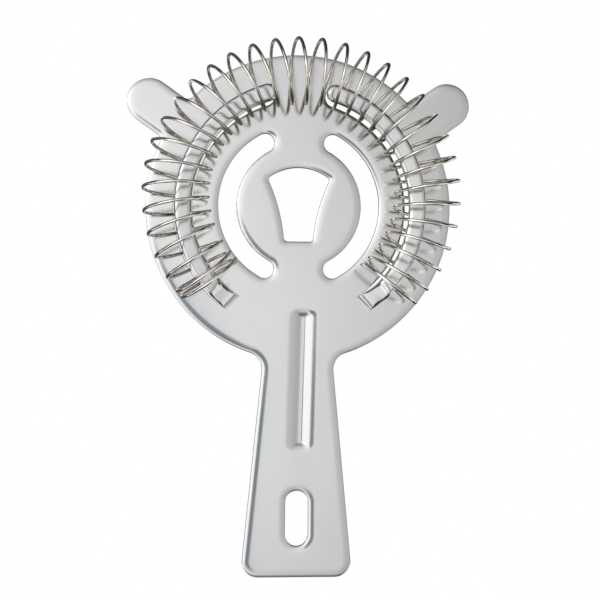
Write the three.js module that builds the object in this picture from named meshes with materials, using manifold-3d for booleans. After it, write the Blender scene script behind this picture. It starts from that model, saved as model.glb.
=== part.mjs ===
// Hawthorne strainer: a stamped steel plate and a coil spring bent into a ring.
// The plate is a disc with two ears and a flat handle. Two curved arms are cut
// from the disc on three sides and bent up, and the spring is threaded on them.
// Millimetres. The plate lies flat with its spring side up (+Z), and +Y runs
// from the handle to the front of the disc. Shapes are drawn about the middle of
// the openings, with the plate's back face at z = 0, and the whole is moved at the end.
import * as THREE from "three";
import { mergeVertices } from "three/addons/utils/BufferGeometryUtils.js";
import Module from "manifold-3d";

const wasm = await Module();
wasm.setup();

// ---- Driving dimensions ----

const sheet = 1.5; // thickness of the steel

// The outline. The disc's middle lies a little behind the middle of its openings.
const disc = { radius: 43.7, centreY: -0.5 };

// Each ear is a straight tab with a full round end.
const ear = { angle: 35, halfWidth: 6.45, endCentre: 52.1, rootFillet: 2 };

// The handle widens from the neck to its end.
const handle = {
  neck: { halfWidth: 10.3, y: -47 },
  end: { halfWidth: 16.1, y: -106.2 },
  cornerRadius: 4.6,
  neckFillet: 5,
};
const hangingSlot = { halfWidth: 3.3, length: 15.9, centreY: -89.4 };

// A groove pressed into the handle from the spring side stands out as a rib on the back. It lies
// a little to the right of the handle's middle.
const groove = {
  centreX: 1.1,
  frontY: -29,
  backY: -70.5,
  halfWidth: 4.7,
  floorHalfWidth: 0.75,
  depth: 0.7,
  lean: 1.3, // degrees, its front end to the right
};

// Opening in the middle of the disc, like a keystone: an arched top and sides that curve inwards.
const keystone = {
  archRadius: 14.1,
  archTopY: 11,
  shoulder: { x: 8.9, y: 7.6 },
  waist: { x: 5.15, y: -0.2 },
  foot: { x: 4.25, y: -10.1, cornerRadius: 1.1 },
};

// Curved pouring slots on each side of the keystone.
const pouringSlot = { innerRadius: 17.85, outerRadius: 23.1, halfAngle: 61.7 };

// Arms: strips that follow the disc's rim, level with the plate at the root. They are drawn about
// the disc's middle, and each reaches a little past the end of the cut that it is bent up from.
const arm = {
  centreY: -0.5,
  innerRadius: 30.7,
  outerRadius: 35.7,
  rootAngle: -55,
  bendAngle: -42,
  tipAngle: 73.4,
  liftAtBend: 6,
  liftAtTip: 7,
};
const armCut = { clearance: 0.12, endAngle: 72.4 };

// The spring's centre line is a helix wound round a ring, which is a little wider than it is long.
const spring = {
  wireRadius: 0.45,
  coilRadius: 9,
  ringRadiusX: 35.1,
  ringRadiusY: 34.4,
  ringCentreX: -0.1,
  ringCentreY: 2.5,
  gapToPlate: 0.3,
};
const winding = {
  frontAngle: 92.1, // the turn at the front of the ring
  pitch: 8.6, // ring angle that one turn takes
  firstTurn: -16.45, // the wire's two ends, in turns from the front
  lastTurn: 16.5,
  evenTurnsRight: 15,
  evenTurnsLeft: 14,
  endPitchRight: 6.6,
  nearEndPitchLeft: 6.1, // for one turn, before the closer turns at the left end
  endPitchLeft: 2.7,
  lean: 2.9, // how far an end turn's inner side runs ahead of its outer side
  leanFromRight: 14.5, // turns from the front to where the lean starts, over one turn
  leanFromLeft: 12.5,
  endLeanLeft: 2, // more lean over the left end's last turns
  endTiltLeft: 1.6, // how far those turns' tops run ahead of their undersides
};

// Fineness of the facets.
const arcSteps = 8;
const footSteps = 8;
const armSteps = 28;
const tipSteps = 4;
const tipTurn = 1.4; // radians of the tip's quarter circle, stopping short of a point
const cutSteps = 16;
const wireSides = 6;
const stepsPerTurn = 14;

// ---- Helpers ----

const radians = THREE.MathUtils.degToRad;
const quarter = Math.PI / 2;

function flatExtrusion(shape, height, curveSegments = arcSteps) {
  return new THREE.ExtrudeGeometry(shape, { depth: height, bevelEnabled: false, curveSegments });
}

// A closed geometry as a solid. A mirrored geometry has its faces turned round again.
function solid(geometry, mirrored = false) {
  const bare = geometry.clone();
  bare.deleteAttribute("normal");
  bare.deleteAttribute("uv");
  const merged = mergeVertices(bare, 1e-4);
  const triVerts = new Uint32Array(merged.index.array);
  if (mirrored) {
    for (let i = 0; i < triVerts.length; i += 3) {
      const second = triVerts[i + 1];
      triVerts[i + 1] = triVerts[i + 2];
      triVerts[i + 2] = second;
    }
  }
  const vertProperties = merged.attributes.position.array;
  return new wasm.Manifold(new wasm.Mesh({ numProp: 3, vertProperties, triVerts }));
}

// The solid and its mirror image across the plate's middle plane, x = 0.
function bothSides(geometry) {
  return [solid(geometry), solid(geometry.clone().scale(-1, 1, 1), true)];
}

function meshOf(body, name, material) {
  const made = body.getMesh();
  const geometry = new THREE.BufferGeometry();
  geometry.setAttribute("position", new THREE.BufferAttribute(made.vertProperties, made.numProp));
  geometry.setIndex(new THREE.BufferAttribute(made.triVerts, 1));
  const flat = geometry.toNonIndexed();
  flat.computeVertexNormals();
  const mesh = new THREE.Mesh(flat, material);
  mesh.name = name;
  return mesh;
}

// Where a straight edge leaves the disc through a concave fillet. The edge runs along `angle`,
// `offset` to its left (positive) or right (negative), seen outwards from the disc's centre.
function rootFillet(angle, offset, radius) {
  const side = Math.sign(offset);
  const across = Math.abs(offset) + radius;
  const along = Math.sqrt((disc.radius + radius) ** 2 - across ** 2);
  const direction = new THREE.Vector2(Math.cos(angle), Math.sin(angle));
  const normal = new THREE.Vector2(-direction.y, direction.x).multiplyScalar(side);
  const centre = direction.clone().multiplyScalar(along).addScaledVector(normal, across);
  return {
    x: centre.x,
    y: centre.y,
    discAngle: centre.angle(),
    towardsDisc: Math.atan2(-centre.y, -centre.x),
    towardsEdge: Math.atan2(-normal.y, -normal.x),
  };
}

// ---- Plate outline ----

// Arcs of the outline's right half from the handle's end to the front, about the disc's centre.
// Straight edges join them.
function rightHalfArcs() {
  const { neck, end, cornerRadius, neckFillet } = handle;
  const edge = new THREE.Vector2(end.halfWidth - neck.halfWidth, end.y - neck.y).normalize();
  const outward = new THREE.Vector2(-edge.y, edge.x);
  const edgeAngle = edge.angle();
  const edgeOffset = new THREE.Vector2(neck.halfWidth, neck.y - disc.centreY).dot(outward);
  const cornerY = end.y - disc.centreY + cornerRadius;
  const cornerX = (edgeOffset - cornerRadius - cornerY * outward.y) / outward.x;
  const neckRoot = rootFillet(edgeAngle, edgeOffset, neckFillet);

  const earAngle = radians(ear.angle);
  const lower = rootFillet(earAngle, -ear.halfWidth, ear.rootFillet);
  const upper = rootFillet(earAngle, ear.halfWidth, ear.rootFillet);
  const tip = { x: ear.endCentre * Math.cos(earAngle), y: ear.endCentre * Math.sin(earAngle) };
  const neckDiscAngle = neckRoot.discAngle - 2 * Math.PI;

  return [
    [cornerX, cornerY, cornerRadius, -quarter, outward.angle(), false],
    [neckRoot.x, neckRoot.y, neckFillet, neckRoot.towardsEdge, neckRoot.towardsDisc, true],
    [0, 0, disc.radius, neckDiscAngle, lower.discAngle, false],
    [lower.x, lower.y, ear.rootFillet, lower.towardsDisc, lower.towardsEdge, true],
    [tip.x, tip.y, ear.halfWidth, earAngle - quarter, earAngle + quarter, false],
    [upper.x, upper.y, ear.rootFillet, upper.towardsEdge, upper.towardsDisc, true],
    [0, 0, disc.radius, upper.discAngle, quarter, false],
  ];
}

function plateOutline() {
  const right = rightHalfArcs();
  const left = right
    .map(([x, y, radius, from, to, clockwise]) => [-x, y, radius, Math.PI - to, Math.PI - from, clockwise])
    .reverse();
  const shape = new THREE.Shape();
  for (const [x, y, ...turn] of [...right, ...left]) shape.absarc(x, y + disc.centreY, ...turn);
  return shape;
}

// ---- Openings ----

function keystoneOutline() {
  const { archRadius, archTopY, shoulder, waist, foot } = keystone;
  const archY = archTopY - archRadius;
  const archAngle = Math.atan2(shoulder.y - archY, shoulder.x);
  const cornerX = foot.x - foot.cornerRadius;
  const cornerY = foot.y + foot.cornerRadius;
  const shape = new THREE.Shape();
  shape.absarc(cornerX, cornerY, foot.cornerRadius, -quarter, 0);
  shape.quadraticCurveTo(waist.x, waist.y, shoulder.x, shoulder.y);
  shape.absarc(0, archY, archRadius, archAngle, Math.PI - archAngle);
  shape.quadraticCurveTo(-waist.x, waist.y, -foot.x, cornerY);
  shape.absarc(-cornerX, cornerY, foot.cornerRadius, Math.PI, 2 * Math.PI - quarter);
  return shape;
}

// A straight slot with round ends, along Y.
function slotOutline(halfWidth, length, centreY) {
  const reach = length / 2 - halfWidth;
  const shape = new THREE.Shape();
  shape.absarc(0, centreY + reach, halfWidth, 0, Math.PI);
  shape.absarc(0, centreY - reach, halfWidth, Math.PI, 2 * Math.PI);
  return shape;
}

// A band that follows the disc's rim. Its far end is round, and its near end is round or square.
function bandOutline(innerRadius, outerRadius, from, to, roundStart) {
  const middle = (innerRadius + outerRadius) / 2;
  const endRadius = (outerRadius - innerRadius) / 2;
  const shape = new THREE.Shape();
  shape.absarc(0, 0, outerRadius, from, to);
  shape.absarc(middle * Math.cos(to), middle * Math.sin(to), endRadius, to, to + Math.PI);
  shape.absarc(0, 0, innerRadius, to, from, true);
  if (roundStart) {
    const x = middle * Math.cos(from);
    const y = middle * Math.sin(from);
    shape.absarc(x, y, endRadius, from + Math.PI, from + 2 * Math.PI);
  }
  return shape;
}

// A shallow pressing: level at height z, with sloping sides down to a flat floor.
function pressing(z) {
  const { centreX, frontY, backY, halfWidth, floorHalfWidth, depth, lean } = groove;
  const slope = halfWidth - floorHalfWidth;
  const length = frontY - backY - 2 * slope;
  const floor = slotOutline(floorHalfWidth, length, 0);
  const thin = 0.01;
  const geometry = new THREE.ExtrudeGeometry(floor, {
    depth: thin,
    bevelThickness: depth,
    bevelSize: slope,
    bevelSegments: 1,
    curveSegments: arcSteps,
  });
  return solid(geometry.rotateZ(-radians(lean)).translate(centreX, (frontY + backY) / 2, z));
}

// ---- Arms ----

// How far an arm stands above the plate at an angle round the disc.
function armLift(angle) {
  const root = radians(arm.rootAngle);
  const bend = radians(arm.bendAngle);
  const tip = radians(arm.tipAngle);
  if (angle <= root) return 0;
  if (angle >= bend) {
    return arm.liftAtBend + ((arm.liftAtTip - arm.liftAtBend) * (angle - bend)) / (tip - bend);
  }
  const part = (angle - root) / (bend - root);
  return (arm.liftAtBend * (1 - Math.cos(Math.PI * part))) / 2;
}

// The angle of a station along an arm: one step inside the plate, a fine row over the foot and a
// coarser one to the tip.
function stationAngle(station) {
  const { lerp } = THREE.MathUtils;
  const overlapIntoPlate = 3;
  const { rootAngle, bendAngle, tipAngle } = arm;
  if (station < 1) return radians(lerp(rootAngle - overlapIntoPlate, rootAngle, station));
  const pastRoot = station - 1;
  if (pastRoot < footSteps) return radians(lerp(rootAngle, bendAngle, pastRoot / footSteps));
  const pastBend = Math.min(pastRoot - footSteps, armSteps);
  return radians(lerp(bendAngle, tipAngle, pastBend / armSteps));
}

// A long thin box, bent round the disc and lifted station by station. The sheet keeps its thickness
// on the slope. Past the last even station the strip narrows to a round end.
function armGeometry() {
  const middle = (arm.innerRadius + arm.outerRadius) / 2;
  const halfWidth = (arm.outerRadius - arm.innerRadius) / 2;
  const evenSteps = 1 + footSteps + armSteps;
  const steps = evenSteps + tipSteps;
  const geometry = new THREE.BoxGeometry(1, 2, sheet, steps, 1, 1);
  const { position } = geometry.attributes;
  for (let i = 0; i < position.count; i++) {
    const station = (position.getX(i) + 0.5) * steps;
    const turn = (Math.max(station - evenSteps, 0) / tipSteps) * tipTurn;
    const angle = stationAngle(station) + (halfWidth * Math.sin(turn)) / middle;
    const reach = middle - position.getY(i) * halfWidth * Math.cos(turn);
    const small = 1e-4;
    const rise = armLift(angle + small) - armLift(angle - small);
    const slope = Math.atan2(rise, 2 * small * middle);
    const up = position.getZ(i);
    const turned = angle - (up * Math.sin(slope)) / middle;
    const z = sheet / 2 + armLift(angle) + up * Math.cos(slope);
    position.setXYZ(i, reach * Math.cos(turned), reach * Math.sin(turned), z);
  }
  return geometry;
}

function buildPlate() {
  const through = (outline, segments) =>
    flatExtrusion(outline, 3 * sheet, segments).translate(0, 0, -sheet);
  const { innerRadius, outerRadius, halfAngle } = pouringSlot;
  const pouringHalf = radians(halfAngle);
  const pouring = bandOutline(innerRadius, outerRadius, -pouringHalf, pouringHalf, true);
  const cutBand = bandOutline(
    arm.innerRadius - armCut.clearance,
    arm.outerRadius + armCut.clearance,
    radians(arm.rootAngle),
    radians(armCut.endAngle),
    false,
  );
  const cuts = [
    solid(through(keystoneOutline())),
    solid(through(slotOutline(hangingSlot.halfWidth, hangingSlot.length, hangingSlot.centreY))),
    ...bothSides(through(pouring, cutSteps)),
    ...bothSides(through(cutBand, cutSteps).translate(0, arm.centreY, 0)),
  ];
  let plate = solid(flatExtrusion(plateOutline(), sheet));
  for (const cut of cuts) plate = plate.subtract(cut);
  const strips = bothSides(armGeometry().translate(0, arm.centreY, 0));
  for (const strip of strips) plate = plate.add(strip);
  return plate.add(pressing(0)).subtract(pressing(sheet));
}

// ---- Spring ----

// Ring angle, in degrees, after a number of turns from the front, counted towards the right.
function ringAngle(turns) {
  const { evenTurnsLeft, evenTurnsRight, lean, leanFromRight, leanFromLeft } = winding;
  const { clamp, smoothstep } = THREE.MathUtils;
  const pastEvenLeft = Math.max(-turns - evenTurnsLeft, 0);
  let angle = winding.frontAngle - winding.pitch * clamp(turns, -evenTurnsLeft, evenTurnsRight);
  angle -= winding.endPitchRight * Math.max(turns - evenTurnsRight, 0);
  angle += winding.nearEndPitchLeft * Math.min(pastEvenLeft, 1);
  angle += winding.endPitchLeft * Math.max(pastEvenLeft - 1, 0);
  const atLeftEnd = smoothstep(pastEvenLeft, 0, 1);
  const leanFrom = turns > 0 ? leanFromRight : leanFromLeft;
  const leaning = lean * smoothstep(Math.abs(turns), leanFrom, leanFrom + 1) * Math.sign(turns);
  const inward = (1 - Math.cos(2 * Math.PI * turns)) / 2;
  const ahead = (leaning - winding.endLeanLeft * atLeftEnd) * inward;
  return angle - ahead + winding.endTiltLeft * atLeftEnd * Math.sin(2 * Math.PI * turns);
}

class SpringLine extends THREE.Curve {
  constructor(firstTurn, lastTurn) {
    super();
    this.firstTurn = firstTurn;
    this.lastTurn = lastTurn;
    this.arcLengthDivisions = Math.round((lastTurn - firstTurn) * 60);
  }

  getPoint(t, target = new THREE.Vector3()) {
    const turns = THREE.MathUtils.lerp(this.firstTurn, this.lastTurn, t);
    const round = 2 * Math.PI * turns;
    const angle = radians(ringAngle(turns));
    const outwards = spring.coilRadius * Math.cos(round);
    const centreZ = sheet + spring.gapToPlate + spring.wireRadius + spring.coilRadius;
    return target.set(
      spring.ringCentreX + (spring.ringRadiusX + outwards) * Math.cos(angle),
      spring.ringCentreY + (spring.ringRadiusY + outwards) * Math.sin(angle),
      centreZ + spring.coilRadius * Math.sin(round),
    );
  }
}

function buildSpring() {
  const { firstTurn, lastTurn } = winding;
  const line = new SpringLine(firstTurn, lastTurn);
  const section = new THREE.Shape();
  section.absarc(0, 0, spring.wireRadius, 0, 2 * Math.PI);
  const geometry = new THREE.ExtrudeGeometry(section, {
    extrudePath: line,
    steps: Math.round((lastTurn - firstTurn) * stepsPerTurn),
    curveSegments: wireSides / 2,
  });
  return solid(geometry);
}

// ---- Assembly ----

const satinSteel = new THREE.MeshStandardMaterial({ color: 0xc9c9ca, roughness: 0.32, metalness: 1 });
const springWire = new THREE.MeshStandardMaterial({ color: 0xcfc7b8, roughness: 0.15, metalness: 1 });

const assembly = new THREE.Group();
assembly.add(meshOf(buildPlate(), "strainer_plate", satinSteel));
assembly.add(meshOf(buildSpring(), "coil_spring", springWire));

// The origin is under the middle of the length, level with the crest of the handle's rib.
const frontY = spring.ringCentreY + spring.ringRadiusY + spring.coilRadius + spring.wireRadius;
assembly.position.set(0, -(frontY + handle.end.y) / 2, groove.depth);

const strainer = new THREE.Group();
strainer.add(assembly);

export default strainer;
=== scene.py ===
"""A hawthorne strainer: the finished looks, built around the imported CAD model.

The plate is one satin steel sheet with polished, rounded edges, a pressed groove and two lifted
arms. The spring is one polished wire, coiled and bent into a ring. Plan shapes are drawn in
millimetres about the disc's centre, with the plate's back face at z = 0, and placed by the frame.
"""

import math

import bpy
import numpy as np
from mathutils import Matrix, Vector
from mathutils.geometry import delaunay_2d_cdt


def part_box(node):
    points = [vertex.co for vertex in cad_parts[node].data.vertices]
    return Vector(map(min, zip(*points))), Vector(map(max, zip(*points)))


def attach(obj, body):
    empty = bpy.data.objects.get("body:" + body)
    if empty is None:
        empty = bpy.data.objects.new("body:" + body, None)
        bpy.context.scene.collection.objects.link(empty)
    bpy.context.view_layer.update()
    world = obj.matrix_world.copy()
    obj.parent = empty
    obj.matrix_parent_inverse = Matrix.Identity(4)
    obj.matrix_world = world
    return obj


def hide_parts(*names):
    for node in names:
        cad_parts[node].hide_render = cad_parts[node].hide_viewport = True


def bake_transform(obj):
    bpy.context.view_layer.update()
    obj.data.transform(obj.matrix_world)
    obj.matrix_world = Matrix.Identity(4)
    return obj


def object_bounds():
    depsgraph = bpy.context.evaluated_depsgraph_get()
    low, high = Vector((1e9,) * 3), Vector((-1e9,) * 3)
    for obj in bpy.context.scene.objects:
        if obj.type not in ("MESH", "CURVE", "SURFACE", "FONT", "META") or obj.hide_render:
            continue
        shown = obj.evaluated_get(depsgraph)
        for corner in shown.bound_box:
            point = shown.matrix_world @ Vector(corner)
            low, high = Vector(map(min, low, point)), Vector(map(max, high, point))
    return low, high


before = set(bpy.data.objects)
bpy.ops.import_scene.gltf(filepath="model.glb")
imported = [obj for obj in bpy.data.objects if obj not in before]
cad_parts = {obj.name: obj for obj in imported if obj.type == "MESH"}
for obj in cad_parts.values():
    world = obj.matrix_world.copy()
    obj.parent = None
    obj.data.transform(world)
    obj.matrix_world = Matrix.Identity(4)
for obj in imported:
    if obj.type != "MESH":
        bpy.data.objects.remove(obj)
cad_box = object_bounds()

# ---- Driving dimensions, in millimetres and degrees ----
# They are the CAD model's, but for the groove's ends, which reach a little further, and the arms'
# roots and bends, which slant.

SHEET = 1.5
DISC = {"radius": 43.7, "centre_y": -0.5}
EAR = {"angle": 35.0, "half_width": 6.45, "end_centre": 52.1, "root_fillet": 2.0}
HANDLE = {
    "neck_half_width": 10.3,
    "neck_y": -47.0,
    "end_half_width": 16.1,
    "end_y": -106.2,
    "corner_radius": 4.6,
    "neck_fillet": 5.0,
}
HANGING_SLOT = {"half_width": 3.3, "length": 15.9, "centre_y": -89.4}
GROOVE = {
    "x": 1.1,
    "front_y": -28.4,
    "back_y": -70.9,
    "half_width": 4.7,
    "floor": 0.75,
    "end_wall": 3.2,
    "depth": 0.7,
    "lean": 1.3,
    "wall_power": 2.3,
}
KEYSTONE = {
    "arch_radius": 14.1,
    "arch_top_y": 11.0,
    "shoulder": (8.9, 7.6),
    "shoulder_radius": 0.6,
    "waist": (5.15, -0.2),
    "foot": (4.25, -10.1),
    "foot_radius": 1.1,
}
POURING_SLOT = {"inner": 17.85, "outer": 23.1, "half_angle": 61.7}
ARM = {
    "centre_y": -0.5,
    "inner": 30.7,
    "outer": 35.7,
    "root_inner": -56.0,
    "root_outer": -54.0,
    "bend_inner": -40.5,
    "bend_outer": -43.5,
    "cut_tip": 72.28,
    "tip": 73.4,
    "lift_at_bend": 6.0,
    "lift_at_tip": 7.0,
    "inward_tilt": 3.0,
    "rounded_from_root": 5,
    "clearance": 0.12,
    "cut_end": 72.4,
}
SPRING = {
    "wire_radius": 0.45,
    "coil_radius": 9.0,
    "ring_radius_x": 35.1,
    "ring_radius_y": 34.4,
    "ring_x": -0.1,
    "ring_y": 2.5,
    "gap": 0.3,
    "end_chamfer": 0.12,
}

# The wire's turns, counted from the front of the ring. Pitches are ring angles for one turn. A lean
# is how far a turn's inner side runs ahead of its outer side, and a tilt how far its top does.
WINDING = {
    "front": 92.1,
    "pitch": 8.6,
    "first_turn": -16.45,
    "last_turn": 16.5,
    "even_turns_right": 15,
    "even_turns_left": 14,
    "end_pitch_right": 6.6,
    "near_end_pitch_left": 6.1,
    "end_pitch_left": 2.7,
    "lean": 2.9,
    "lean_from_right": 14.5,
    "lean_from_left": 12.5,
    "end_lean_left": 2.0,
    "end_tilt_left": 1.6,
}

# The camera's place, in millimetres from the disc's centre and over the plate's top face, and how
# it is turned. The field is the width that it sees at the plate.
CAMERA = {
    "x": -34.0,
    "y": -26.9,
    "height": 350.0,
    "middle_x": 0.44,
    "field": 171.3,
    "shift": 0.05,
    "roll": 0.43,
}

# Rounding of the plate's edges: how far it reaches in plan, and how far down the edge. The arms'
# edges are rounder, and the plate is sharp where the arms are cut from it.
TOP_ROUND = (2.3, 0.35)
ARM_ROUND = (1.3, 0.9)
CUT_ROUND = (0.15, 0.12)
BACK_ROUND = 0.3

# Fineness of the meshes.
ROUND_STEPS = 12
CURVE_POINTS = 40
PLATE_STEP = 1.7
ARM_STEP = 0.8
GROOVE_STEP = 0.4
CLEAR_OF_EDGE = 0.35
WIRE_SIDES = 14
STEPS_PER_TURN = 56

WHITE = (1.0, 1.0, 1.0, 1.0)

# ---- Placing: from the drawing's millimetres to the frame's metres ----

MM = 0.001
plate_low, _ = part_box("strainer_plate")
DISC_Y = plate_low.y - HANDLE["end_y"] * MM
BACK_Z = plate_low.z + GROOVE["depth"] * MM
TOP_Z = BACK_Z + SHEET * MM


def placed(points):
    """Drawing coordinates, an array of rows x, y, z in millimetres, as metres in the frame."""
    return np.asarray(points, float) * MM + np.array([0.0, DISC_Y, BACK_Z])


# ---- Outlines: closed rings of points, with the steel on the left as they run ----

ARC_STEP = 0.45
LINE_STEP = 1.5


def arc(x, y, radius, start, end):
    """Points of an arc from angle start to angle end, in radians, either way round."""
    sweep = abs(end - start)
    steps = max(3, math.ceil(sweep * radius / ARC_STEP), math.ceil(sweep / math.radians(9)))
    angles = np.linspace(start, end, steps + 1)
    return [(x + radius * math.cos(a), y + radius * math.sin(a)) for a in angles]


def short_arc(x, y, radius, start, end):
    """An arc between two directions, the short way round."""
    return arc(x, y, radius, start, start + math.remainder(end - start, 2 * math.pi))


def bezier(start, control, end):
    """Points of a quadratic curve."""
    start, control, end = np.array(start), np.array(control), np.array(end)
    t = np.linspace(0, 1, CURVE_POINTS)[:, None]
    return list((1 - t) ** 2 * start + 2 * t * (1 - t) * control + t**2 * end)


def ring(points, hole):
    """A closed ring with even line steps, turned so that the steel is on its left."""
    points = [np.array(p, float) for p in points]
    kept = []
    for here, after in zip(points, points[1:] + points[:1]):
        length = np.linalg.norm(after - here)
        if length < 1e-4:
            continue
        steps = max(1, math.ceil(length / LINE_STEP))
        kept += [here + (after - here) * k / steps for k in range(steps)]
    kept = np.array(kept)
    x, y = kept.T
    area = np.sum(x * np.roll(y, -1) - np.roll(x, -1) * y) / 2
    return kept[::-1] if (area > 0) == hole else kept


def mirrored(points):
    """The same points on the other side of the middle line."""
    return [(-x, y) for x, y in points]


def root_fillet(angle, offset, radius):
    """Where a straight edge leaves the disc: fillet centre, and the angles towards disc and edge."""
    across = abs(offset) + radius
    along = math.sqrt((DISC["radius"] + radius) ** 2 - across**2)
    direction = np.array([math.cos(angle), math.sin(angle)])
    normal = np.array([-direction[1], direction[0]]) * math.copysign(1, offset)
    centre = along * direction + across * normal
    disc_angle = math.atan2(centre[1], centre[0])
    to_disc = math.atan2(-centre[1], -centre[0])
    to_edge = math.atan2(-normal[1], -normal[0])
    return centre, disc_angle, to_disc, to_edge


def outline():
    """The plate's outer edge. The right half runs from the handle's end to the front, drawn about
    the disc's centre, and the left half is its mirror image."""
    quarter = math.pi / 2
    corner = HANDLE["corner_radius"]
    neck = np.array([HANDLE["neck_half_width"], HANDLE["neck_y"] - DISC["centre_y"]])
    end = np.array([HANDLE["end_half_width"], HANDLE["end_y"] - DISC["centre_y"]])
    edge = (end - neck) / np.linalg.norm(end - neck)
    outward = np.array([-edge[1], edge[0]])
    offset = float(neck @ outward)
    corner_y = end[1] + corner
    corner_x = (offset - corner - corner_y * outward[1]) / outward[0]
    edge_angle = math.atan2(edge[1], edge[0])
    neck_centre, neck_disc, neck_to_disc, neck_to_edge = root_fillet(
        edge_angle, offset, HANDLE["neck_fillet"]
    )
    ear_angle = math.radians(EAR["angle"])
    width, fillet = EAR["half_width"], EAR["root_fillet"]
    low, low_disc, low_to_disc, low_to_edge = root_fillet(ear_angle, -width, fillet)
    high, high_disc, high_to_disc, high_to_edge = root_fillet(ear_angle, width, fillet)
    tip = EAR["end_centre"] * np.array([math.cos(ear_angle), math.sin(ear_angle)])
    right = (
        arc(corner_x, corner_y, corner, -quarter, math.atan2(outward[1], outward[0]))
        + short_arc(*neck_centre, HANDLE["neck_fillet"], neck_to_edge, neck_to_disc)
        + arc(0, 0, DISC["radius"], neck_disc, low_disc)
        + short_arc(*low, fillet, low_to_disc, low_to_edge)
        + arc(*tip, width, ear_angle - quarter, ear_angle + quarter)
        + short_arc(*high, fillet, high_to_edge, high_to_disc)
        + arc(0, 0, DISC["radius"], high_disc, quarter)
    )
    whole = right + mirrored(right)[::-1]
    return ring([(x, y + DISC["centre_y"]) for x, y in whole], hole=False)


def keystone_ring():
    """The middle opening: an arched top, sides that curve inwards and a straight foot."""
    arch_y = KEYSTONE["arch_top_y"] - KEYSTONE["arch_radius"]
    shoulder_x, shoulder_y = KEYSTONE["shoulder"]
    foot_x, foot_y = KEYSTONE["foot"]
    radius = KEYSTONE["foot_radius"]
    small = KEYSTONE["shoulder_radius"]
    arch_angle = math.atan2(shoulder_y - arch_y, shoulder_x)
    trim = small / KEYSTONE["arch_radius"]
    side = bezier((foot_x, foot_y + radius), KEYSTONE["waist"], (shoulder_x, shoulder_y))
    side = [p for p in side if math.dist(p, (shoulder_x, shoulder_y)) > small]
    corner_end = (
        KEYSTONE["arch_radius"] * math.cos(arch_angle + trim),
        arch_y + KEYSTONE["arch_radius"] * math.sin(arch_angle + trim),
    )
    corner = bezier(side[-1], (shoulder_x, shoulder_y), corner_end)[1:-1:6]
    right = (
        arc(foot_x - radius, foot_y + radius, radius, -math.pi / 2, 0)
        + side
        + corner
        + arc(0, arch_y, KEYSTONE["arch_radius"], arch_angle + trim, math.pi / 2)
    )
    return ring(right + mirrored(right)[::-1], hole=True)


def hanging_slot_ring():
    half, y = HANGING_SLOT["half_width"], HANGING_SLOT["centre_y"]
    reach = HANGING_SLOT["length"] / 2 - half
    points = arc(0, y + reach, half, 0, math.pi) + arc(0, y - reach, half, math.pi, 2 * math.pi)
    return ring(points, hole=True)


def pouring_slot():
    """The curved slot on the right of the keystone, with round ends."""
    half = math.radians(POURING_SLOT["half_angle"])
    inner, outer = POURING_SLOT["inner"], POURING_SLOT["outer"]
    middle, end = (inner + outer) / 2, (outer - inner) / 2
    x, y = middle * math.cos(half), middle * math.sin(half)
    return (
        arc(0, 0, outer, -half, half)
        + arc(x, y, end, half, half + math.pi)
        + arc(0, 0, inner, half, -half)
        + arc(x, -y, end, math.pi - half, 2 * math.pi - half)
    )


def arm_cut():
    """The narrow cut that frees the right arm from the plate on three sides."""
    root_in, root_out = math.radians(ARM["root_inner"]), math.radians(ARM["root_outer"])
    tip, cut_end = math.radians(ARM["cut_tip"]), math.radians(ARM["cut_end"])
    inner, outer, gap = ARM["inner"], ARM["outer"], ARM["clearance"]
    middle, half = (inner + outer) / 2, (outer - inner) / 2
    end = (middle * math.cos(cut_end), middle * math.sin(cut_end))
    nose = (middle * math.cos(tip), middle * math.sin(tip))

    def kerf_end(radius, root):
        """The cut's round end at the arm's root, from its inner side to its outer side."""
        x, y = radius * math.cos(root), radius * math.sin(root)
        return arc(x, y, gap / 2, root - math.pi, root)

    points = (
        arc(0, 0, outer + gap, root_out, cut_end)
        + arc(*end, half + gap, cut_end, cut_end + math.pi)
        + arc(0, 0, inner - gap, cut_end, root_in)
        + kerf_end(inner - gap / 2, root_in)
        + arc(0, 0, inner, root_in, tip)
        + arc(*nose, half, tip + math.pi, tip)
        + arc(0, 0, outer, tip, root_out)
        + kerf_end(outer + gap / 2, root_out)
    )
    return [(x, y + ARM["centre_y"]) for x, y in points]


# ---- Plate relief: the pressed groove and the lifted arms ----


def smooth(t):
    """A gentle step from 0 to 1."""
    t = np.clip(t, 0, 1)
    return t * t * (3 - 2 * t)


def pressed(points):
    """How far the groove is pressed down at each point. Its walls start gently at the top and meet
    the narrow floor at a sharp corner."""
    floor, wall = GROOVE["floor"], GROOVE["half_width"] - GROOVE["floor"]
    end_wall = GROOVE["end_wall"]
    middle_y = (GROOVE["front_y"] + GROOVE["back_y"]) / 2
    y = points[:, 1]
    x = points[:, 0] - GROOVE["x"] - (y - middle_y) * math.tan(math.radians(GROOVE["lean"]))
    beyond = y - np.clip(y, GROOVE["back_y"] + end_wall, GROOVE["front_y"] - end_wall)
    beyond *= wall / end_wall
    short = np.hypot(np.maximum(np.abs(x) - floor, 0), beyond) / wall
    return GROOVE["depth"] * np.clip(1 - short, 0, 1) ** GROOVE["wall_power"]


def arm_place(points):
    """Where each point lies on its arm, drawn flat: distance from the arm's middle line, as a part
    of its half width, angle round the disc in degrees, and whether it is on the arm's steel."""
    x, y = np.abs(points[:, 0]), points[:, 1] - ARM["centre_y"]
    reach, angle = np.hypot(x, y), np.degrees(np.arctan2(y, x))
    margin = ARM["clearance"] / 2
    middle, half = (ARM["inner"] + ARM["outer"]) / 2, (ARM["outer"] - ARM["inner"]) / 2
    tip = math.radians(ARM["cut_tip"])
    past_tip = np.hypot(x - middle * math.cos(tip), y - middle * math.sin(tip))
    away = np.where(angle < ARM["cut_tip"], np.abs(reach - middle), past_tip)
    return (reach - middle) / half, angle, away < half + margin


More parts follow.
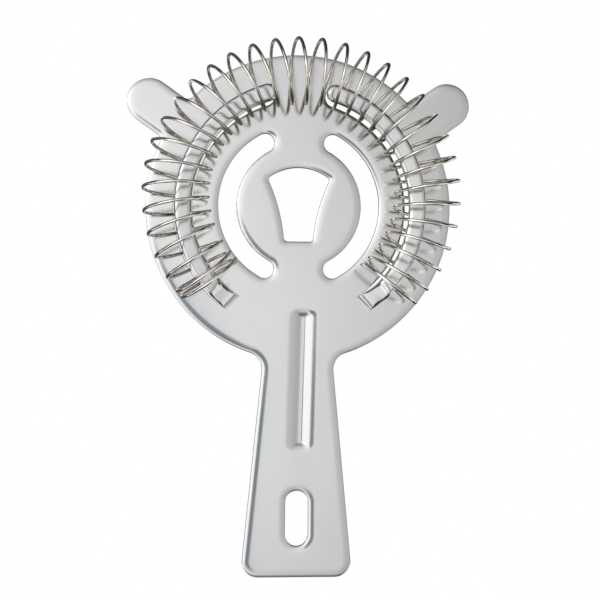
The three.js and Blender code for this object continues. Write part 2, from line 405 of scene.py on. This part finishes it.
def raised_arms(points):
    """The flat plate's points, with those on the arms lifted and drawn on to the arms' tips."""
    across, angle, on_arm = arm_place(points)
    side = np.clip((1 + across) / 2, 0, 1)
    root = ARM["root_inner"] + (ARM["root_outer"] - ARM["root_inner"]) * side
    bend = ARM["bend_inner"] + (ARM["bend_outer"] - ARM["bend_inner"]) * side
    part = np.clip((angle - root) / (bend - root), 0, 1)
    foot = (1 - np.cos(np.pi * part)) / 2
    past_bend = np.maximum(angle - bend, 0) / (ARM["cut_tip"] - bend)
    half = (ARM["outer"] - ARM["inner"]) / 2
    tilt = math.tan(math.radians(ARM["inward_tilt"])) * half * across
    rise = past_bend * (ARM["lift_at_tip"] - ARM["lift_at_bend"])
    turn = np.radians(past_bend * (ARM["tip"] - ARM["cut_tip"])) * np.sign(points[:, 0])
    x, y = points[:, 0], points[:, 1] - ARM["centre_y"]
    moved = points.copy()
    moved[:, 0] = x * np.cos(turn) - y * np.sin(turn)
    moved[:, 1] = x * np.sin(turn) + y * np.cos(turn) + ARM["centre_y"]
    moved[:, 2] += foot * (ARM["lift_at_bend"] + tilt) + rise
    return np.where(on_arm[:, None], moved, points)


# ---- Plate mesh ----


def inside(points, rings):
    """Which points are in the steel, by counting the ring edges to the right of each."""
    count = np.zeros(len(points), int)
    px, py = points[:, 0, None], points[:, 1, None]
    for loop in rings:
        ax, ay = loop.T
        bx, by = np.roll(loop, -1, axis=0).T
        spans = (ay > py) != (by > py)
        safe = np.where(by == ay, 1.0, by - ay)
        crossing = ax + (py - ay) * (bx - ax) / safe
        count += np.sum(spans & (px < crossing), axis=1)
    return count % 2 == 1


def grid(low, high, step):
    """A triangular grid of points over a box."""
    rows = np.arange(low[1], high[1], step * math.sqrt(3) / 2)
    points = []
    for k, y in enumerate(rows):
        xs = np.arange(low[0] + (k % 2) * step / 2, high[0], step)
        points.append(np.column_stack([xs, np.full(len(xs), y)]))
    return np.vstack(points)


def near_arm(points):
    """Which points are on an arm or just beside it."""
    across, angle, _ = arm_place(points)
    return (np.abs(across) < 1.4) & (angle > ARM["root_inner"] - 2)


def filling_points(rings):
    """Points inside the flat faces: fine where the sheet is pressed or bent, coarse elsewhere."""
    everywhere = grid((-58, -108), (58, 46), PLATE_STEP)
    width = GROOVE["half_width"] + 1.5
    back, front = GROOVE["back_y"] - 1, GROOVE["front_y"] + 1
    groove = grid((-width, back), (width, front), GROOVE_STEP)
    groove += [GROOVE["x"], 0]
    right_arm = grid((5, -33), (37, 36), ARM_STEP)
    right_arm = right_arm[near_arm(right_arm)]
    arms = np.vstack([right_arm, right_arm * [-1, 1]])
    on_arm = near_arm(everywhere)
    on_groove = np.abs(everywhere[:, 0] - GROOVE["x"]) < width
    on_groove &= (everywhere[:, 1] < front) & (everywhere[:, 1] > back)
    points = np.vstack([everywhere[~on_arm & ~on_groove], groove, arms])
    points = points[inside(points, rings)]
    edge = np.vstack(rings)
    nearest = np.full(len(points), np.inf)
    for part in np.array_split(edge, 40):
        gap = np.hypot(points[:, 0, None] - part[:, 0], points[:, 1, None] - part[:, 1])
        nearest = np.minimum(nearest, gap.min(axis=1))
    return points[nearest > CLEAR_OF_EDGE]


def outward_normals(loop):
    """Unit normals that point away from the steel, which is on the left as the ring runs."""
    along = np.roll(loop, -1, axis=0) - np.roll(loop, 1, axis=0)
    normals = np.column_stack([along[:, 1], -along[:, 0]])
    return normals / np.linalg.norm(normals, axis=1)[:, None]


def edge_rows(rounding):
    """(distance in from the edge, height) at each point of a ring, row by row down the rounded
    edge, from the top face to the back."""
    reach, drop = rounding.T
    turn = np.linspace(0, math.pi / 2, ROUND_STEPS + 1)
    rows = [(reach * (1 - math.sin(a)), SHEET - drop * (1 - math.cos(a))) for a in turn]
    small = np.minimum(BACK_ROUND, reach)
    rows += [(small * (1 - math.cos(a)), small * (1 - math.sin(a))) for a in turn[::3]]
    return rows


def rounding_of(loop, is_cut):
    """How an edge is rounded at each of its points, as rows of (reach, drop)."""
    if not is_cut:
        return np.tile(TOP_ROUND, (len(loop), 1))
    across, angle, on_arm = arm_place(loop)
    share = (on_arm * smooth((angle - ARM["root_outer"]) / ARM["rounded_from_root"]))[:, None]
    return share * ARM_ROUND + (1 - share) * CUT_ROUND


def edge_walls(rings, cut_count):
    """The plate's edges, of which the last cut_count rings are the arms' cuts: vertices, faces, and
    each ring's vertex numbers along the top face and along the back."""
    vertices, faces, top_rows, back_rows = [], [], [], []
    total = 0
    for number, loop in enumerate(rings):
        normals = outward_normals(loop)
        n = len(loop)
        profile = edge_rows(rounding_of(loop, is_cut=number >= len(rings) - cut_count))
        for inset, height in profile:
            vertices.append(np.column_stack([loop - normals * inset[:, None], height]))
        for row in range(len(profile) - 1):
            a = total + row * n
            for k in range(n):
                after = (k + 1) % n
                faces.append((a + k, a + n + k, a + n + after, a + after))
        top_rows.append(range(total, total + n))
        back_rows.append(range(total + (len(profile) - 1) * n, total + len(profile) * n))
        total += len(profile) * n
    return np.vstack(vertices), faces, top_rows, back_rows


def flat_face(vertices, rows, height, upward):
    """A flat face between rings of vertices: all the vertices with its own added, and its faces."""
    used = np.concatenate([np.array(row) for row in rows])
    loops = [vertices[np.array(row), :2] for row in rows]
    fill = filling_points(loops)
    flat = np.vstack([vertices[used, :2], fill])
    edges, start = [], 0
    for row in rows:
        n = len(row)
        edges += [(start + k, start + (k + 1) % n) for k in range(n)]
        start += n
    result = delaunay_2d_cdt([Vector(p) for p in flat], edges, [], 0, 1e-7)
    points, triangles, sources = result[0], result[2], result[3]
    added = range(len(vertices), len(vertices) + len(fill))
    numbers = [*(int(k) for k in used), *added]
    corners = np.array([[points[i][:] for i in t] for t in triangles])
    keep = inside(corners.mean(axis=1), loops)
    faces = []
    for triangle, kept in zip(triangles, keep):
        if kept:
            a, b, c = (numbers[sources[i][0]] for i in triangle)
            faces.append((a, b, c) if upward else (a, c, b))
    return np.vstack([vertices, np.column_stack([fill, np.full(len(fill), height)])]), faces


def build_plate(material):
    """The whole plate as one mesh: its edges, its top face and its back."""
    right_cut, right_slot = arm_cut(), pouring_slot()
    cuts = [ring(right_cut, hole=True), ring(mirrored(right_cut), hole=True)]
    slots = [ring(right_slot, hole=True), ring(mirrored(right_slot), hole=True)]
    rings = [outline(), keystone_ring(), hanging_slot_ring(), *slots, *cuts]
    vertices, faces, top_rows, back_rows = edge_walls(rings, len(cuts))
    for rows, height, upward in ((top_rows, SHEET, True), (back_rows, 0.0, False)):
        vertices, flat_faces = flat_face(vertices, rows, height, upward)
        faces += flat_faces
    vertices[:, 2] -= pressed(vertices[:, :2])
    return mesh_object("plate_steel", placed(raised_arms(vertices)), faces, material)


def mesh_object(name, vertices, faces, material):
    """A smooth-shaded object of one material, linked into the scene."""
    mesh = bpy.data.meshes.new(name)
    mesh.from_pydata([tuple(v) for v in vertices], [], faces)
    mesh.validate()
    mesh.polygons.foreach_set("use_smooth", [True] * len(mesh.polygons))
    mesh.materials.append(material)
    made = bpy.data.objects.new(name, mesh)
    bpy.context.scene.collection.objects.link(made)
    return made


# ---- Spring ----


def ring_angle(turns):
    """Ring angle in degrees after a number of turns from the front, counted to the right."""
    last_left = WINDING["even_turns_left"]
    even = np.clip(turns, -last_left, WINDING["even_turns_right"])
    beyond_right = np.maximum(turns - WINDING["even_turns_right"], 0)
    near_end_left = np.clip(-turns - last_left, 0, 1)
    beyond_left = np.maximum(-turns - last_left - 1, 0)
    angle = WINDING["front"] - WINDING["pitch"] * even
    angle -= WINDING["end_pitch_right"] * beyond_right
    angle += WINDING["near_end_pitch_left"] * near_end_left
    angle += WINDING["end_pitch_left"] * beyond_left
    at_left_end = smooth(-turns - last_left)
    lean_from = np.where(turns > 0, WINDING["lean_from_right"], WINDING["lean_from_left"])
    leaning = WINDING["lean"] * smooth(np.abs(turns) - lean_from) * np.sign(turns)
    leaning -= WINDING["end_lean_left"] * at_left_end
    inward = (1 - np.cos(2 * math.pi * turns)) / 2
    tilt = WINDING["end_tilt_left"] * at_left_end * np.sin(2 * math.pi * turns)
    return angle - leaning * inward + tilt


def spring_line(turns):
    """The wire's centre line, and the middle of its coil, at each number of turns."""
    angle = np.radians(ring_angle(turns))
    around = 2 * math.pi * turns
    coil = SPRING["coil_radius"]
    height = SHEET + SPRING["gap"] + SPRING["wire_radius"] + coil
    outward = np.column_stack([np.cos(angle), np.sin(angle), np.zeros(len(turns))])
    radii = [SPRING["ring_radius_x"], SPRING["ring_radius_y"], 0]
    centre = outward * radii + [SPRING["ring_x"], SPRING["ring_y"], height]
    up = np.array([0.0, 0.0, 1.0])
    line = centre + coil * (np.cos(around)[:, None] * outward + np.sin(around)[:, None] * up)
    return line, centre


def build_spring(material):
    """The wire as a round tube along its line, with a cut and chamfered face at each end."""
    first, last = WINDING["first_turn"], WINDING["last_turn"]
    turns = np.linspace(first, last, round((last - first) * STEPS_PER_TURN))
    line, centre = spring_line(turns)
    tangent = np.gradient(line, axis=0)
    tangent /= np.linalg.norm(tangent, axis=1)[:, None]
    out = line - centre
    out -= np.sum(out * tangent, axis=1)[:, None] * tangent
    out /= np.linalg.norm(out, axis=1)[:, None]
    side = np.cross(tangent, out)
    angles = np.linspace(0, 2 * math.pi, WIRE_SIDES, endpoint=False)
    radius, chamfer = SPRING["wire_radius"], SPRING["end_chamfer"]

    def section(k, size, ahead):
        """The wire's section at point k, moved ahead along the wire."""
        around = np.cos(angles)[:, None] * out[k] + np.sin(angles)[:, None] * side[k]
        return line[k] + ahead * tangent[k] + size * around

    rows = [
        section(0, radius - chamfer, -chamfer),
        *(section(k, radius, 0) for k in range(len(line))),
        section(-1, radius - chamfer, chamfer),
    ]
    vertices = np.vstack(rows)
    faces = []
    for row in range(len(rows) - 1):
        for k in range(WIRE_SIDES):
            a, b = row * WIRE_SIDES + k, row * WIRE_SIDES + (k + 1) % WIRE_SIDES
            faces.append((a, b, b + WIRE_SIDES, a + WIRE_SIDES))
    faces.append(tuple(range(WIRE_SIDES))[::-1])
    end = (len(rows) - 1) * WIRE_SIDES
    faces.append(tuple(range(end, end + WIRE_SIDES)))
    return mesh_object("spring_wire", placed(vertices), faces, material)


# ---- Materials ----


class Nodes:
    """Short calls for building a node tree."""

    def __init__(self, tree):
        self.tree = tree
        tree.nodes.clear()

    def add(self, kind, settings=None, **inputs):
        """A new node with its properties and inputs set. A space in an input's name is given as _."""
        node = self.tree.nodes.new(kind)
        for key, value in (settings or {}).items():
            setattr(node, key, value)
        for key, value in inputs.items():
            self.put(node, key.replace("_", " "), value)
        return node

    def put(self, node, key, value):
        """Sets one input, by name or number, to a value or to another node's output."""
        socket = node.inputs[int(key) if key.isdigit() else key]
        if isinstance(value, bpy.types.NodeSocket):
            self.tree.links.new(value, socket)
        else:
            socket.default_value = value

    def math(self, operation, first, second=0.0):
        node = self.tree.nodes.new("ShaderNodeMath")
        node.operation = operation
        self.put(node, "0", first)
        self.put(node, "1", second)
        return node.outputs[0]

    def product(self, first, *others):
        """All the values multiplied together."""
        for other in others:
            first = self.math("MULTIPLY", first, other)
        return first

    def map(self, value, low, high, to_low=0.0, to_high=1.0, steps="SMOOTHSTEP"):
        """A value between low and high as one between to_low and to_high, and no further."""
        node = self.tree.nodes.new("ShaderNodeMapRange")
        node.interpolation_type = steps
        for key, number in zip(("0", "1", "2", "3", "4"), (value, low, high, to_low, to_high)):
            self.put(node, key, number)
        return node.outputs[0]

    def reach(self, place, x, y):
        """Distance in plan from a point in the drawing's millimetres."""
        offset = (-x * MM, -DISC_Y - y * MM, 0.0)
        flat = self.add("ShaderNodeMapping", Vector=place, Location=offset, Scale=(1.0, 1.0, 0.0))
        length = self.add("ShaderNodeVectorMath", {"operation": "LENGTH"})
        self.put(length, "0", flat.outputs[0])
        return length.outputs["Value"]


def stretched_noise(nodes, scale, stretch, detail=3.0):
    """Noise drawn out into streaks: stretch is the scale along each axis of the object."""
    place = nodes.add("ShaderNodeTexCoord")
    mapping = nodes.add("ShaderNodeMapping", Vector=place.outputs["Object"], Scale=stretch)
    noise = nodes.add("ShaderNodeTexNoise", Vector=mapping.outputs[0], Scale=scale, Detail=detail)
    return noise.outputs["Fac"]


def satin_steel():
    """Stainless sheet with a fine brushed grain along the handle, polished enough to mirror the
    spring that lies on it."""
    material = bpy.data.materials.new("brushed_plate")
    material.use_nodes = True
    nodes = Nodes(material.node_tree)
    fine = stretched_noise(nodes, 1.0, (7000.0, 160.0, 900.0))
    patches = stretched_noise(nodes, 1.0, (90.0, 40.0, 90.0), 2.0)
    colour = nodes.add("ShaderNodeMix", {"data_type": "RGBA"})
    nodes.put(colour, "0", nodes.map(fine, 0.3, 0.7, 0.0, 1.0, "LINEAR"))
    nodes.put(colour, "6", (0.742, 0.742, 0.745, 1.0))
    nodes.put(colour, "7", (0.762, 0.762, 0.765, 1.0))
    rough = nodes.map(patches, 0.35, 0.65, 0.11, 0.14)
    bump = nodes.add("ShaderNodeBump", Strength=0.05, Distance=0.00002, Height=fine)
    surface = nodes.add(
        "ShaderNodeBsdfPrincipled",
        Base_Color=colour.outputs[2],
        Metallic=1.0,
        Roughness=rough,
        Normal=bump.outputs[0],
    )
    output = nodes.add("ShaderNodeOutputMaterial")
    material.node_tree.links.new(surface.outputs[0], output.inputs[0])
    return material


def polished_wire():
    """Bright drawn spring wire, a little warmer than the plate. Shade is painted into its colour: it
    turns dark brown low down and on the coil's inner side at the front of the ring, and only slightly
    so towards the handle."""
    material = bpy.data.materials.new("polished_wire")
    material.use_nodes = True
    nodes = Nodes(material.node_tree)
    mottle = stretched_noise(nodes, 1.0, (700.0, 700.0, 700.0), 4.0)
    colour = nodes.add("ShaderNodeMix", {"data_type": "RGBA"})
    nodes.put(colour, "0", nodes.map(mottle, 0.35, 0.65))
    nodes.put(colour, "6", (0.90, 0.85, 0.77, 1.0))
    nodes.put(colour, "7", (1.0, 0.97, 0.91, 1.0))
    place = nodes.add("ShaderNodeTexCoord").outputs["Object"]
    _, along, height = nodes.add("ShaderNodeSeparateXYZ", Vector=place).outputs
    reach = nodes.reach(place, SPRING["ring_x"], SPRING["ring_y"])
    # Painted shade: how much of the wire's own colour is kept. It falls low on the coil and on its
    # inner side at the front, where the coil shades itself.
    low = nodes.map(height, TOP_Z + 3 * MM, TOP_Z + 13 * MM, 0.68, 1.0)
    inner = nodes.map(reach, 26.0 * MM, 30.5 * MM, 0.05, 1.0)
    behind = nodes.map(along, DISC_Y + 6 * MM, DISC_Y + 26 * MM, 0.85, 0.0)
    unshaded_share = nodes.math("MAXIMUM", nodes.product(low, inner), behind)
    # The painted shade: a dark brown mixed into the wire's colour by the mask above.
    painted_shade = nodes.add("ShaderNodeMix", {"data_type": "RGBA"})
    nodes.put(painted_shade, "0", unshaded_share)
    nodes.put(painted_shade, "6", (0.26, 0.21, 0.155, 1.0))
    nodes.put(painted_shade, "7", colour.outputs[2])
    bump = nodes.add("ShaderNodeBump", Strength=0.1, Distance=0.00002, Height=mottle)
    surface = nodes.add(
        "ShaderNodeBsdfPrincipled",
        Base_Color=painted_shade.outputs[2],
        Metallic=1.0,
        Roughness=nodes.map(mottle, 0.3, 0.7, 0.04, 0.10),
        Normal=bump.outputs[0],
    )
    output = nodes.add("ShaderNodeOutputMaterial")
    material.node_tree.links.new(surface.outputs[0], output.inputs[0])
    return material


# ---- Stage: white floor, studio surroundings and camera ----


def make_floor():
    """A plain white floor, 6 m square, that glows evenly and so shows no shadow."""
    half = 3.0
    corners = [(-half, -half, 0), (half, -half, 0), (half, half, 0), (-half, half, 0)]
    material = bpy.data.materials.new("white_floor")
    material.use_nodes = True
    nodes = Nodes(material.node_tree)
    glow = nodes.add("ShaderNodeEmission", Color=WHITE, Strength=1.0)
    output = nodes.add("ShaderNodeOutputMaterial")
    material.node_tree.links.new(glow.outputs[0], output.inputs[0])
    floor = mesh_object("floor", corners, [(0, 1, 2, 3)], material)
    floor.location.z = cad_box[0].z - 0.0002
    floor.visible_glossy = False


def make_surroundings():
    """A studio as light from all round, by direction: a bright ceiling that fades to the right and
    towards the handle, and a softbox on the left with a narrow blue-grey gap before it. It is dark
    low down, but for a light on the right and one on each side beyond the handle's end."""
    world = bpy.data.worlds.new("studio")
    bpy.context.scene.world = world
    world.use_nodes = True
    nodes = Nodes(world.node_tree)
    direction = nodes.add("ShaderNodeTexCoord")
    axes = nodes.add("ShaderNodeSeparateXYZ", Vector=direction.outputs["Generated"])
    x, y, z = axes.outputs
    slanted = nodes.math("ADD", x, nodes.map(y, -0.06, 0.04, -0.02, 0.04, "LINEAR"))
    in_gap = nodes.product(
        nodes.map(x, -0.24, -0.13, 0.0, 1.0),
        nodes.map(slanted, -0.03, 0.03, 1.0, 0.0),
        nodes.map(y, -0.4, -0.24, 0.0, 1.0),
        nodes.map(y, -0.02, 0.05, 1.0, 0.0),
    )
    ceiling = nodes.product(
        nodes.map(x, -0.1, 0.25, 1.24, 0.64, "LINEAR"),
        nodes.map(x, 0.25, 0.8, 1.0, 0.8),
        nodes.map(x, 0.82, 0.92, 1.0, 0.35),
        nodes.map(in_gap, 0.0, 1.0, 1.0, 0.22, "LINEAR"),
        nodes.map(y, -0.35, -0.1, 0.78, 1.0),
        nodes.map(y, -0.6, -0.42, 0.33, 1.0),
        nodes.map(y, 0.0, 0.35, 1.0, 0.8, "LINEAR"),
        nodes.map(y, 0.3, 0.6, 1.0, 0.55),
    )
    softbox = nodes.product(
        nodes.map(x, -0.2, -0.4, 0.0, 0.9),
        nodes.map(y, 0.0, 0.2, 0.0, 1.0),
        nodes.map(y, 0.2, 0.45, 1.0, 0.3),
    )
    above = nodes.map(z, 0.25, 0.6, 0.08, 1.0)
    light = nodes.math("MULTIPLY", nodes.math("ADD", ceiling, softbox), above)
    low_right = nodes.product(
        nodes.map(x, 0.45, 0.65, 0.0, 0.75),
        nodes.map(nodes.math("ABSOLUTE", y), 0.25, 0.5, 1.0, 0.0),
        nodes.map(z, -0.05, 0.1, 1.0, 0.0),
    )
    handle_end = nodes.product(
        nodes.map(nodes.math("ABSOLUTE", x), 0.35, 0.55, 0.0, 0.9),
        nodes.map(y, -0.3, -0.45, 0.0, 1.0),
        nodes.map(y, -0.75, -0.9, 1.0, 0.0),
        nodes.map(z, -0.5, -0.3, 0.0, 1.0),
        nodes.map(z, 0.45, 0.6, 1.0, 0.0),
    )
    light = nodes.math("ADD", nodes.math("ADD", light, low_right), handle_end)
    tint = nodes.add("ShaderNodeMix", {"data_type": "RGBA"})
    nodes.put(tint, "0", in_gap)
    nodes.put(tint, "6", WHITE)
    nodes.put(tint, "7", (0.86, 0.97, 1.06, 1.0))
    shine = nodes.add("ShaderNodeBackground", Color=tint.outputs[2], Strength=light)
    plain = nodes.add("ShaderNodeBackground", Color=WHITE, Strength=1.0)
    path = nodes.add("ShaderNodeLightPath")
    mix = nodes.add("ShaderNodeMixShader")
    nodes.put(mix, "0", path.outputs["Is Camera Ray"])
    nodes.put(mix, "1", shine.outputs[0])
    nodes.put(mix, "2", plain.outputs[0])
    output = nodes.add("ShaderNodeOutputWorld")
    world.node_tree.links.new(mix.outputs[0], output.inputs[0])


def make_camera():
    """Above and to the left of the strainer, tilted towards it. The rest of the way to its middle
    is the small lens shift."""
    field = CAMERA["field"] * MM
    eye = Vector((CAMERA["x"], CAMERA["y"], CAMERA["height"])) * MM + Vector((0, DISC_Y, TOP_Z))
    middle = Vector((CAMERA["middle_x"] * MM - CAMERA["shift"] * field, eye.y, TOP_Z))
    look = middle - eye
    back = -look.normalized()
    right = Vector((0, 1, 0)).cross(back).normalized()
    level = Matrix((right, back.cross(right), back)).transposed()
    roll = Matrix.Rotation(math.radians(CAMERA["roll"]), 3, "Z")
    camera = bpy.data.cameras.new("camera")
    made = bpy.data.objects.new("camera", camera)
    bpy.context.scene.collection.objects.link(made)
    made.location = eye
    made.rotation_euler = (level @ roll).to_euler()
    camera.sensor_width = 36
    camera.lens = camera.sensor_width * look.length / field
    camera.shift_x = CAMERA["shift"]
    camera.clip_start, camera.clip_end = 0.01, 20
    bpy.context.scene.camera = made


# ---- Making it all ----

make_camera()
make_floor()
make_surroundings()
bpy.context.scene.view_settings.view_transform = "Standard"

plate = build_plate(satin_steel())
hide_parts("strainer_plate")
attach(plate, "plate")

spring = build_spring(polished_wire())
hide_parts("coil_spring")
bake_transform(spring)
